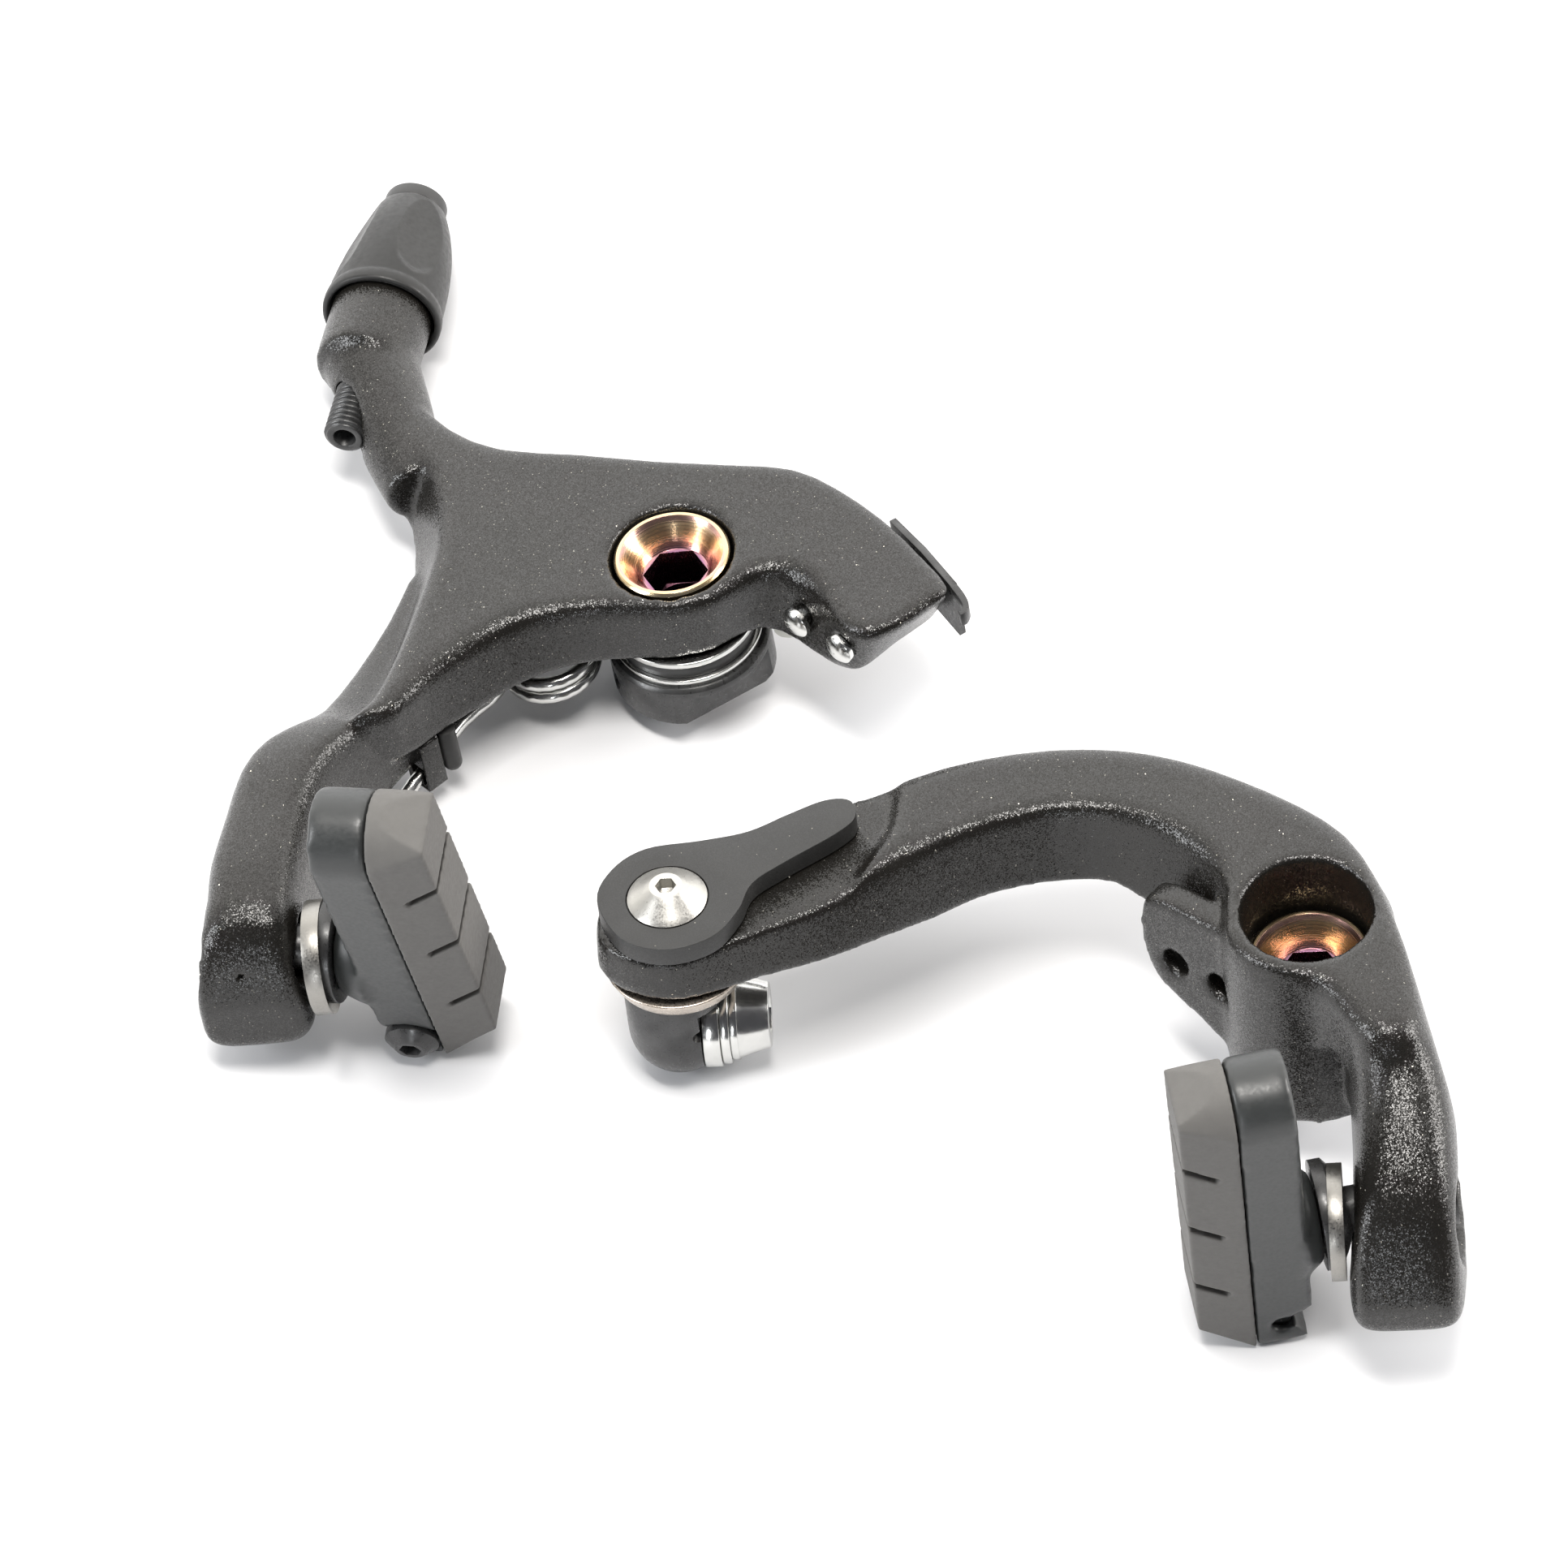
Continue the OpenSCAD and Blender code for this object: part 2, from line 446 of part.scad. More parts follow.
module shoe_holder_a() color(RUBBER) on_shoe_a() shoe_holder(back_a, holder_a_t, stud_up_a);
module brake_pad_a() color(PADCOL) on_shoe_a() brake_pad(back_a, holder_a_t, pad_a_t, stud_up_a);
module pad_screw_a() color(STEEL) on_shoe_a() pad_screw(back_a, holder_a_t, stud_up_a);
module shoe_stud_a() color(BLACK) on_shoe_a() shoe_stud(11.1);
module dish_washer_a() color(STEEL) on_shoe_a() dish_washer(1.6, yaw_a, 8.4);
module ball_washer_a() color(BLACK) on_shoe_a() ball_washer(1.6);
module shoe_holder_b() color(RUBBER) on_shoe_b() shoe_holder(back_b, holder_b_t, stud_up_b);
module brake_pad_b() color(PADCOL) on_shoe_b() brake_pad(back_b, holder_b_t, pad_b_t, stud_up_b);
module pad_screw_b() color(STEEL) on_shoe_b() pad_screw(back_b, holder_b_t, stud_up_b);
module shoe_stud_b() color(BLACK) on_shoe_b() shoe_stud(12.1);
module dish_washer_b() color(STEEL) on_shoe_b() dish_washer(1.4, yaw_b, 8.1);
module ball_washer_b() color(BLACK) on_shoe_b() ball_washer(1.4);

// anchor arm casting
eye_at = [-68.5, 5];
function beam_outline() = [
  [-76.3, 2.4, -76.8, 2.6, 18.9, 1.4], [-73.4, -0.6, -73.6, -1.2, 18.9, 1.4],
  [-68.6, -1.9, -68.4, -2.8, 18.9, 1.4], [-64, 0, -63.6, -1.6, 18.7, 1.4],
  [-59, 2.2, -58.8, 0.4, 18.4, 1.3], [-52.6, 5.2, -52.4, 2.8, 17.8, 1.2],
  [-46, 8.9, -46, 6.6, 16.8, 1.2], [-40.5, 11.7, -40.4, 10, 15.8, 1.2],
  [-34.5, 14.4, -34.4, 12.9, 16, 1.2], [-27, 16.3, -27, 14.3, 16, 1.2],
  [-20.4, 15.6, -21, 13.7, 16, 1.2], [-14.6, 12.9, -16.4, 10, beam_low, 1.3],
  [-10.6, 9.2, -12.6, 5.6, beam_low, 1.4], [-8.6, 4.6, -9.4, 2, beam_low, 1.2],
  [-8.9, -2.4, -8.9, -2.6, beam_low, 1], [-6.6, -6.6, -6.6, -6.6, beam_low, 1],
  [-2.8, -8.9, -2.8, -8.9, beam_low, 1], [1, -10.6, 1, -10, beam_low, 1.2],
  [3.4, -14.6, 3.6, -14, beam_low, 1.3], [5.6, -18.4, 5.8, -18, beam_low, 1.4],
  [10.6, -18.6, 11.4, -18, beam_low, 1.6], [11.8, -14, 13, -13.6, beam_low, 1.8],
  [10.6, -6.6, 11.7, -6.6, beam_low, 2], [9.2, -0.4, 10.1, -0.4, beam_low, 2],
  [7.4, 5.6, 8.2, 5.8, beam_low, 2], [4.6, 11.4, 5.2, 11.8, beam_low, 2.2],
  [0, 16, 0.3, 16.5, beam_low, 2.4], [-6.6, 20.4, -6.4, 21, 15.6, 2.4],
  [-12.8, 23.6, -12.7, 24.3, 16, 2.4], [-19.4, 25.6, -19.4, 26.4, 16, 2.4],
  [-27, 26.2, -27, 26.8, 16, 2.4], [-35, 25.2, -35, 25.8, 16, 2.2], [-43, 22.8, -43, 23.4, 16.4, 2],
  [-49.6, 20, -49.6, 20.6, 17, 1.8], [-56, 16.8, -56, 17.2, 17.8, 1.6],
  [-61.6, 14, -61.6, 14.2, 18.5, 1.5], [-66.4, 12.9, -66.4, 13, 18.9, 1.4],
  [-71.6, 12.2, -71.8, 12.6, 18.9, 1.4], [-75.6, 8.2, -76, 8.6, 18.9, 1.4]];
leg_b = [[-2, 1, 9.6, 5, 24, 0.4], [-9, 3, 12.4, 2.4, 25.9, 0.8], [-15, 3.2, 14.2, 0.8, 25, 1.2],
  [-20, 3, 15.8, 0, 22.8, 1.6], [-25, 2.6, 16, -0.6, 20, 1.6], [-29.6, 2.4, 15.8, -0.8, 17, 1.5],
  [-33.6, 2.2, 15.4, -0.6, 13.4, 1.2], [-36.8, 2.6, 14.8, 0, 8.6, 0.8], [-38.4, 3.8, 13.6, 1.4, 5.2, 0.2]];
slot_b = [8.4, -26.4, 7.8];
hole_at = [[-14.6, 3.9, 14], [-9.8, 0.1, 14]];
flange_turn = 231;

module anchor_casting() {
  edged_plate(beam_outline(), beam_top);
  finger(leg_b);
  translate([0, 0, 1.5]) cylinder(h = beam_top - 4, d = boss_d);
  // flange under the beam with the two rivet holes
  translate([-13, 2.6, 0]) rotate([0, 0, flange_turn - 180]) rotate([90, 0, 90]) translate([0, 0, -0.2])
    linear_extrude(height = 3.6)
      polygon([for (p = round_trip([[-6.6, 16.6], [-5.4, 22.5], [2, 23.6], [7, 22.6], [8, 14], [7.4, 5.2],
        [4.4, 4.8], [0.6, 7], [-3.2, 8.8], [-5.6, 11.4]], 4)) [-p[0], p[1]]]);
}
module cable_anchor_arm() color(CAST) on_b() difference() {
  resize([0, 0, 0]) anchor_casting();
  // recess, bore for the bushing, and room for the nut on the back
  translate([0, 0, stack_h - 5.1]) cylinder(h = 20, d = recess_d);
  translate([0, 0, -5]) cylinder(h = 30, r = bushing_d / 2 + run_gap);
  translate([0, 0, -5]) cylinder(h = 9, d = 15.6);
  // seat of the lever
  translate([0, 0, seat_z]) linear_extrude(height = 10)
    polygon([for (p = round_trip([[-84, -12], [-60, -12], [-50.6, 3.6], [-46.4, 11.6],
      [-44.2, 17], [-45.4, 26],
      [-56, 32], [-84, 30]], 4)) p]);
  // pin hole of the lever and anchor
  translate([eye_at[0], eye_at[1], 5]) cylinder(h = 30, d = 5.1);
  // rivet holes in the flange
  for (p = hole_at) translate(p) rotate([0, 0, flange_turn]) rotate([0, 90, 0])
    translate([0, 0, -9]) cylinder(h = 14, d = 3.4);
  shoe_slot(slot_b, -yaw_b, -1, 3, 9.6, 0.8);
}

// quick release and cable anchor
module quick_release_lever() color(CAST) on_b() difference() {
  translate([0, 0, seat_z + 0.3]) linear_extrude(height = lever_h)
    polygon([for (p = round_trip([[-76.1, 5], [-74.6, 9.4], [-71, 12.2],
      [-65, 13], [-59.9, 14], [-55.6, 16.2],
      [-51.6, 18], [-48.9, 17.8], [-48.3, 15.4], [-50.4, 13], [-55.8, 9.3], [-59.4, 6.4], [-60.8, 2.8],
      [-63.6, -1], [-68.6, -2.5], [-73.4, -0.6]], 5)) p]);
  translate([eye_at[0], eye_at[1], 10]) cylinder(h = 30, d = 5.1);
  translate([eye_at[0], eye_at[1], seat_z + lever_h - 0.2]) cylinder(h = 5, d = 9);
}
lever_z = seat_z + lever_h - 0.2;
module lever_screw() color(STEEL) on_b() translate([eye_at[0], eye_at[1], 0]) difference() {
  union() {
    translate([0, 0, lever_z]) cylinder(h = 0.5, d = 8.7);
    translate([0, 0, lever_z + 0.5]) cylinder(h = 1.9, d1 = 8.7, d2 = 3.6);
    translate([0, 0, 11.8]) cylinder(h = lever_z - 11.7, d = 5);
  }
  translate([0, 0, lever_z + 0.9]) cylinder(h = 3, d = 2 / cos(30), $fn = 6);
}
module eccentric_ring() color([0.8, 0.76, 0.7]) on_b()
  translate([eye_at[0] + 0.2, eye_at[1] + 0.1, 16.2]) difference() {
  cylinder(h = 2.15, d1 = 14.4, d2 = 16.2);
  translate([-0.2, -0.1, -1]) cylinder(h = 5, d = 5.1);
}
anchor_z = 7.1;
clamp_y = 5.6;
module anchor_body() color(BLACK) on_b() difference() {
  union() {
    translate([eye_at[0] - 0.5, eye_at[1] + 0.2, anchor_z]) cylinder(h = 8.8, d = 11.4);
    translate([eye_at[0] - 0.5, eye_at[1] + 0.2, anchor_z]) sphere(d = 11.4);
  }
  translate([eye_at[0], eye_at[1], 11.6]) cylinder(h = 20, d = 5.1);
  // flat face and tapped hole of the clamp
  translate([eye_at[0] + 2, eye_at[1] - 10, anchor_z - 10]) cube([10, 20, 16]);
  translate([eye_at[0] - 2, clamp_y, anchor_z - 0.2]) rotate([0, 90, 0]) cylinder(h = 10, d = 4.1);
  // cable groove
  translate([eye_at[0] + 2, clamp_y + 20, anchor_z + 2.9]) rotate([90, 0, 0]) cylinder(h = 40, d = 1.6);
}
module clamp_plate() color(STEEL) on_b()
  translate([eye_at[0] + 2.1, clamp_y, anchor_z - 0.2]) rotate([0, 90, 0])
  difference() {
    intersection() {
      cylinder(h = 1.9, d = 11);
      translate([-4.6, -8, -1]) cube([10, 16, 4]);
    }
    translate([0, 0, -1]) cylinder(h = 4, d = 4.1);
  }
module clamp_washer() color(STEEL) on_b()
  translate([eye_at[0] + 4.05, clamp_y, anchor_z - 0.2]) rotate([0, 90, 0])
  difference() {
    cylinder(h = 1, d = 10.4);
    translate([0, 0, -1]) cylinder(h = 4, d = 4.1);
  }
module clamp_nut() color(STEEL) on_b()
  translate([eye_at[0] + 5.1, clamp_y, anchor_z - 0.2]) rotate([0, 90, 0])
  difference() {
    union() {
      cylinder(h = 0.8, d = 9.6);
      translate([0, 0, 0.8]) cylinder(h = 3.4, d1 = 9.2, d2 = 7.2);
      translate([0, 0, -6.2]) cylinder(h = 7, d = 4);
    }
    translate([0, 0, 2]) cylinder(h = 4, d = 4 / cos(30), $fn = 6);
  }

// anchor arm pivot
module pivot_bolt_b() color(BRONZE) on_b() pivot_bolt(0.6);
module bushing_b() color(STEEL) on_b() bushing(3.92, stack_h - 5.02);
module tension_nut_b() color(BLACK) on_b() difference() {
  rotate_extrude() polygon([[barrel_d / 2 + gap, 0], [6.9, 0],
    [7.5, 0.6], [7.5, 3.9], [barrel_d / 2 + gap, 3.9]]);
  for (s = [0, 180]) rotate([0, 0, 30 + s]) translate([6.5, -15, -1]) cube([10, 30, 2.2]);
}

cable_stop_arm();
cable_adjuster();
adjuster_boot();
boot_cap();
pivot_bolt_a();
bushing_a();
washer_upper_a();
spacer_a();
washer_lower_a();
tension_nut_a();
nut_grub_screw();
return_spring();
spring_sleeve();
spring_collar();
bumper();
nose_rivets();
wear_plate();
shoe_holder_a();
brake_pad_a();
pad_screw_a();
shoe_stud_a();
dish_washer_a();
ball_washer_a();
cable_anchor_arm();
quick_release_lever();
lever_screw();
eccentric_ring();
anchor_body();
clamp_plate();
clamp_washer();
clamp_nut();
pivot_bolt_b();
bushing_b();
tension_nut_b();
shoe_holder_b();
brake_pad_b();
pad_screw_b();
shoe_stud_b();
dish_washer_b();
ball_washer_b();
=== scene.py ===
# Two cast arms of a rim-brake caliper, laid front face up on a pale table.
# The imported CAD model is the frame; every piece here sits where its solid sits.
import json
import bmesh
import bpy
from math import cos, pi, radians, sin
from mathutils import Euler, Matrix, Vector

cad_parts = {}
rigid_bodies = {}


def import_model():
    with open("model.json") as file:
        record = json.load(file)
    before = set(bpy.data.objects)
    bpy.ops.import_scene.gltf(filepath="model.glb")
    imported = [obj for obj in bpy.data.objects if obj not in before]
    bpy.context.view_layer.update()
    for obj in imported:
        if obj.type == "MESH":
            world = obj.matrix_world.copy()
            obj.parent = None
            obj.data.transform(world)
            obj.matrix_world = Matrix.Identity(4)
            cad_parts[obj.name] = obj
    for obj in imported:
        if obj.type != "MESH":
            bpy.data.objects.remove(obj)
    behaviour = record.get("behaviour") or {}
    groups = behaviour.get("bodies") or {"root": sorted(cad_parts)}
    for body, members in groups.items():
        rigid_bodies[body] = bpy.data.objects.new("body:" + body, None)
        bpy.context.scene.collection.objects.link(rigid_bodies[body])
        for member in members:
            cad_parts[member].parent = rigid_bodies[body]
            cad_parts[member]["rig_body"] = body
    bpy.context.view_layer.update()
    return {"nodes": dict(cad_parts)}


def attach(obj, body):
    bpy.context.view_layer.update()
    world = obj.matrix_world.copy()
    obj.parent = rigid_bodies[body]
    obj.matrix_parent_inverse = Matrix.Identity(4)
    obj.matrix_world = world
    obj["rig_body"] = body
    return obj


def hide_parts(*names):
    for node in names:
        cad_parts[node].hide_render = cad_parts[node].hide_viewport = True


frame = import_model()

# ---- Camera ----
# A long lens a metre away looks down on the table at 55 degrees, square to its front edge.
# Its length in pixels is taken over the width of the square frame.
MM = 0.001
look_at = Vector((-4 * MM, 0, 0))
tilt_down = radians(55)
camera_distance = 1.0
image_px, focal_px = 1932, 11000
lens = bpy.data.cameras.new("camera")
lens.sensor_width = 36
lens.lens = lens.sensor_width * focal_px / image_px
lens.clip_start, lens.clip_end = 0.05, 20
camera = bpy.data.objects.new("camera", lens)
camera.location = look_at + camera_distance * Vector((0, -cos(tilt_down), sin(tilt_down)))
camera.rotation_euler = (pi / 2 - tilt_down, 0, 0)
bpy.context.scene.collection.objects.link(camera)
bpy.context.scene.camera = camera

# ---- Table and light ----
# A plain white table top. A soft box hangs over it, a narrow strip stands in front and a panel at each
# side. The wall behind the table is pale, and the room on the lens's side is dark.
table_half = 4.0
corners = [(x * table_half, y * table_half, 0) for x, y in ((-1, -1), (1, -1), (1, 1), (-1, 1))]
table_mesh = bpy.data.meshes.new("table")
table_mesh.from_pydata(corners, [], [(0, 1, 2, 3)])
table = bpy.data.objects.new("table", table_mesh)
bpy.context.scene.collection.objects.link(table)
table_paint = bpy.data.materials.new("table_white")
table_paint.use_nodes = True
table_shader = table_paint.node_tree.nodes["Principled BSDF"]
table_shader.inputs["Base Color"].default_value = (0.72, 0.725, 0.74, 1)
table_shader.inputs["Roughness"].default_value = 0.6
table_shader.inputs["Specular IOR Level"].default_value = 0.25
table_mesh.materials.append(table_paint)


def soft_box(name, place, aim, size, watts, colour):
    """A rectangular lamp at a place, turned to face another."""
    lamp = bpy.data.lights.new(name, "AREA")
    lamp.shape = "RECTANGLE"
    lamp.size, lamp.size_y = size
    lamp.energy, lamp.color = watts, colour
    stand = bpy.data.objects.new(name, lamp)
    stand.location = place
    stand.rotation_euler = (Vector(aim) - Vector(place)).to_track_quat("-Z", "Y").to_euler()
    bpy.context.scene.collection.objects.link(stand)


soft_box("overhead", (-0.1, -0.12, 1.25), (0, 0, 0), (0.6, 0.22), 15, (1, 0.97, 0.93))
soft_box("strip_front", (-0.22, -1.1, 0.3), (0, -0.04, 0.02), (0.09, 0.4), 1.8, (0.94, 0.97, 1))
soft_box("panel_left", (-1.0, -0.3, 0.5), (0, 0, 0.02), (0.35, 0.6), 9, (0.96, 0.98, 1))
soft_box("panel_right", (1.0, 0.1, 0.55), (0, 0, 0.02), (0.35, 0.6), 10, (1, 0.97, 0.94))


def fill_ramp(ramp, tones):
    """Gives a colour ramp its tones, each a spot from 0 to 1 and a colour."""
    ends = ramp.elements
    for end, (spot, tone) in ((ends[0], tones[0]), (ends[1], tones[-1])):
        end.position, end.color = spot, (*tone, 1)
    for spot, tone in tones[1:-1]:
        ends.new(spot).color = (*tone, 1)


# from the lens's side of the room, over the sides, to the wall behind the table
room_tones = ((0.36, (0.03, 0.03, 0.033)), (0.5, (0.18, 0.18, 0.185)), (0.7, (0.6, 0.59, 0.57)),
              (0.85, (1, 0.98, 0.95)), (1.0, (1, 1, 1)))
room_strength = 2.6
room = bpy.data.worlds.new("room")
bpy.context.scene.world = room
room.use_nodes = True
room_nodes, room_links = room.node_tree.nodes, room.node_tree.links
room_place = room_nodes.new("ShaderNodeTexCoord")
room_axes = room_nodes.new("ShaderNodeSeparateXYZ")
room_links.new(room_place.outputs["Generated"], room_axes.inputs[0])
room_depth = room_nodes.new("ShaderNodeMath")
room_depth.operation = "MULTIPLY_ADD"
room_depth.inputs[1].default_value = 0.5
room_depth.inputs[2].default_value = 0.5
room_links.new(room_axes.outputs["Y"], room_depth.inputs[0])
room_ramp = room_nodes.new("ShaderNodeValToRGB")
fill_ramp(room_ramp.color_ramp, room_tones)
room_links.new(room_depth.outputs[0], room_ramp.inputs[0])
room_links.new(room_ramp.outputs[0], room_nodes["Background"].inputs["Color"])
room_nodes["Background"].inputs["Strength"].default_value = room_strength
bpy.context.scene.view_settings.view_transform = "Standard"

# ---- Castings ----
# The two arms are cast aluminium, tumbled so that every edge is soft, and powder-coated in a satin black
# with metal flake. Bores are machined before coating.


def evaluated(piece):
    """The piece's mesh with its modifiers worked in."""
    bpy.context.view_layer.update()
    shape = bpy.data.meshes.new_from_object(
        piece.evaluated_get(bpy.context.evaluated_depsgraph_get()))
    old = piece.data
    piece.modifiers.clear()
    piece.data = shape
    bpy.data.meshes.remove(old)
    return piece


def copy_of(node, name):
    """A free copy of a CAD node's mesh, welded."""
    weld = 2e-6
    shape = frame["nodes"][node].data.copy()
    shape.materials.clear()
    loose = bmesh.new()
    loose.from_mesh(shape)
    bmesh.ops.remove_doubles(loose, verts=loose.verts, dist=weld)
    loose.to_mesh(shape)
    loose.free()
    piece = bpy.data.objects.new(name, shape)
    bpy.context.scene.collection.objects.link(piece)
    return piece


def dress(piece, node, coat):
    """Gives the piece its finish and its body, and hides the solid that it stands for."""
    piece.data.materials.clear()
    piece.data.materials.append(coat)
    for face in piece.data.polygons:
        face.use_smooth = True
    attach(piece, frame["nodes"][node]["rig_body"])
    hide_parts(node)


def tumbled(node, name, grain, rounds):
    """The casting with its facets worn into one soft skin, of a grain given in millimetres."""
    piece = copy_of(node, name)
    skin = piece.modifiers.new("skin", "REMESH")
    skin.mode, skin.voxel_size, skin.adaptivity = "VOXEL", grain * MM, 0
    wear = piece.modifiers.new("wear", "SMOOTH")
    wear.factor, wear.iterations = 0.5, rounds
    return evaluated(piece)


def eased(piece, spot, reach, rounds):
    """Blends the casting's forms into each other round one spot, given in millimetres."""
    centre, group = Vector(spot) * MM, piece.vertex_groups.new(name="ease")
    for vertex in piece.data.vertices:
        near = 1 - (vertex.co - centre).length / (reach * MM)
        if near > 0:
            group.add([vertex.index], min(1, 1.6 * near), "REPLACE")
    ease = piece.modifiers.new("ease", "SMOOTH")
    ease.factor, ease.iterations, ease.vertex_group = 0.5, rounds, "ease"
    evaluated(piece)
    piece.vertex_groups.clear()


class Finish:
    """A material being mixed: its shader, and short calls for the nodes that feed it."""

    def __init__(self, name, colour, metallic=0.0, roughness=0.5, **sockets):
        self.material = bpy.data.materials.new(name)
        self.material.use_nodes = True
        self.nodes, self.links = self.material.node_tree.nodes, self.material.node_tree.links
        self.shader = self.nodes["Principled BSDF"]
        self.put("Base Color", (*colour, 1))
        self.put("Metallic", metallic)
        self.put("Roughness", roughness)
        for socket, value in sockets.items():
            self.put(socket.replace("_", " "), value)
        self.place = self.nodes.new("ShaderNodeTexCoord").outputs["Object"]

    def feed(self, socket, value):
        """Links a node's output to a socket, or sets the socket to a plain value."""
        if hasattr(value, "links"):
            self.links.new(value, socket)
        else:
            socket.default_value = value

    def put(self, socket, value):
        self.feed(self.shader.inputs[socket], value)

    def node(self, kind, *feeds, **settings):
        """A node with its settings, its first inputs fed in order by sockets or numbers."""
        made = self.nodes.new("ShaderNode" + kind)
        for key, value in settings.items():
            setattr(made, key, value)
        for socket, value in zip(made.inputs, feeds):
            self.feed(socket, value)
        return made

    def maths(self, operation, a, b=0.0, c=0.0):
        return self.node("Math", a, b, c, operation=operation).outputs[0]

    def noise(self, per_mm, detail=2.0, rough=0.5):
        made = self.node("TexNoise", self.place)
        for socket, value in (("Scale", per_mm / MM), ("Detail", detail), ("Roughness", rough)):
            made.inputs[socket].default_value = value
        return made.outputs["Fac"]

    def cells(self, per_mm):
        made = self.node("TexVoronoi", self.place)
        made.inputs["Scale"].default_value = per_mm / MM
        return made.outputs["Color"]

    def range(self, value, low, high, to_low, to_high):
        return self.node("MapRange", value, low, high, to_low, to_high).outputs[0]

    def blend(self, share, a, b):
        """Two colours mixed by a share; either may be a socket."""
        made = self.nodes.new("ShaderNodeMix")
        made.data_type = "RGBA"
        self.feed(made.inputs[0], share)
        for k, tone in ((6, a), (7, b)):
            self.feed(made.inputs[k], tone if hasattr(tone, "links") else (*tone, 1))
        return made.outputs[2]

    def grey(self, shade, last=None):
        return self.node("CombineColor", shade, shade, last or shade).outputs[0]

    def relief(self, height, strength, depth_mm):
        """A bump of the surface by a height, as deep as depth_mm."""
        made = self.node("Bump")
        for socket, value in (("Strength", strength), ("Distance", depth_mm * MM), ("Height", height)):
            self.feed(made.inputs[socket], value)
        return made.outputs[0]


def powder_coat(name, colour, flake_share, grain, roughness):
    """Satin coat with metal flakes: a share of its cells are flakes, and every cell leans a little."""
    cells_per_mm, flake_colour, flake_metal = 8.5, (0.26, 0.25, 0.22), 0.9
    flake_roughness, flake_lean = 0.28, 0.9
    coat = Finish(name, colour, roughness=roughness)
    cells = coat.cells(cells_per_mm)
    pick = coat.node("SeparateColor", cells).outputs[0]
    flake = coat.maths("GREATER_THAN", pick, 1 - flake_share)
    drift = coat.range(coat.noise(0.22, 3), 0.3, 0.7, 0, 1)
    under = coat.blend(drift, tuple(c * 0.85 for c in colour), tuple(c * 1.15 for c in colour))
    coat.put("Base Color", coat.blend(flake, under, flake_colour))
    coat.put("Metallic", coat.maths("MULTIPLY", flake, flake_metal))
    coat.put("Roughness", coat.range(flake, 0, 1, roughness, flake_roughness))
    # each cell lies at its own slant in the coat
    slant = coat.node("VectorMath", cells, (-0.5, -0.5, -0.5), operation="ADD").outputs[0]
    lean = coat.node("VectorMath", slant, operation="SCALE")
    coat.feed(lean.inputs["Scale"], coat.range(flake, 0, 1, grain, flake_lean))
    face = coat.node("NewGeometry").outputs["Normal"]
    tipped = coat.node("VectorMath", lean.outputs[0], face, operation="ADD").outputs[0]
    coat.put("Normal", coat.node("VectorMath", tipped, operation="NORMALIZE").outputs[0])
    return coat.material


cast_coat = powder_coat("flake_powder_coat", (0.009, 0.0082, 0.007), 0.004, 0.36, 0.24)
cast_grain, cast_rounds = 0.4, 22
stop_casting = tumbled("cable_stop_arm", "stop_arm_casting", cast_grain, cast_rounds)
dress(stop_casting, "cable_stop_arm", cast_coat)
anchor_casting = tumbled("cable_anchor_arm", "anchor_arm_casting", cast_grain, cast_rounds)
# where the boss plate runs into the leg, and the two ends of the step at the lever's seat
for spot, reach, rounds in (((60.5, -57.5, 32.5), 14, 220), ((9.3, -19, 25.2), 6, 60),
                            ((6.4, -28.5, 25.2), 6.5, 60)):
    eased(anchor_casting, spot, reach, rounds)
dress(anchor_casting, "cable_anchor_arm", cast_coat)

# ---- Pivot bolts ----
# Two hollow steel bolts with a conical seat and a hexagon socket, heat-coloured from straw through bronze
# to violet; each clamps its bushing against the tension nut.


def filed(node, name, width, steps=2):
    """A machined piece with its sharp edges broken by so many millimetres."""
    edge_angle, sharp_angle = radians(30), radians(38)
    piece = copy_of(node, name)
    edge = piece.modifiers.new("edge", "BEVEL")
    edge.width, edge.segments, edge.limit_method = width * MM, steps, "ANGLE"
    edge.angle_limit = edge_angle
    edge.use_clamp_overlap = True
    evaluated(piece)
    piece.data.set_sharp_from_angle(angle=sharp_angle)
    return piece


# each arm's own frame, whose Z is its pivot: its place in millimetres and its tilt in degrees
arms = {"a": ((-13.9, 14.4, 2.3), (-7.5, -8.1)), "b": ((54, -41.7, 5.6), (-7.5, -5))}
arms = {arm: (Vector(at) * MM, Euler((radians(x), radians(y), 0))) for arm, (at, (x, y)) in arms.items()}
cone_tones = ((0.0, (0.3, 0.15, 0.24)), (0.16, (0.5, 0.26, 0.26)), (0.38, (0.7, 0.47, 0.27)),
              (0.62, (0.71, 0.52, 0.32)), (0.76, (0.55, 0.33, 0.3)), (0.88, (0.74, 0.55, 0.3)),
              (1.0, (0.66, 0.55, 0.38)))


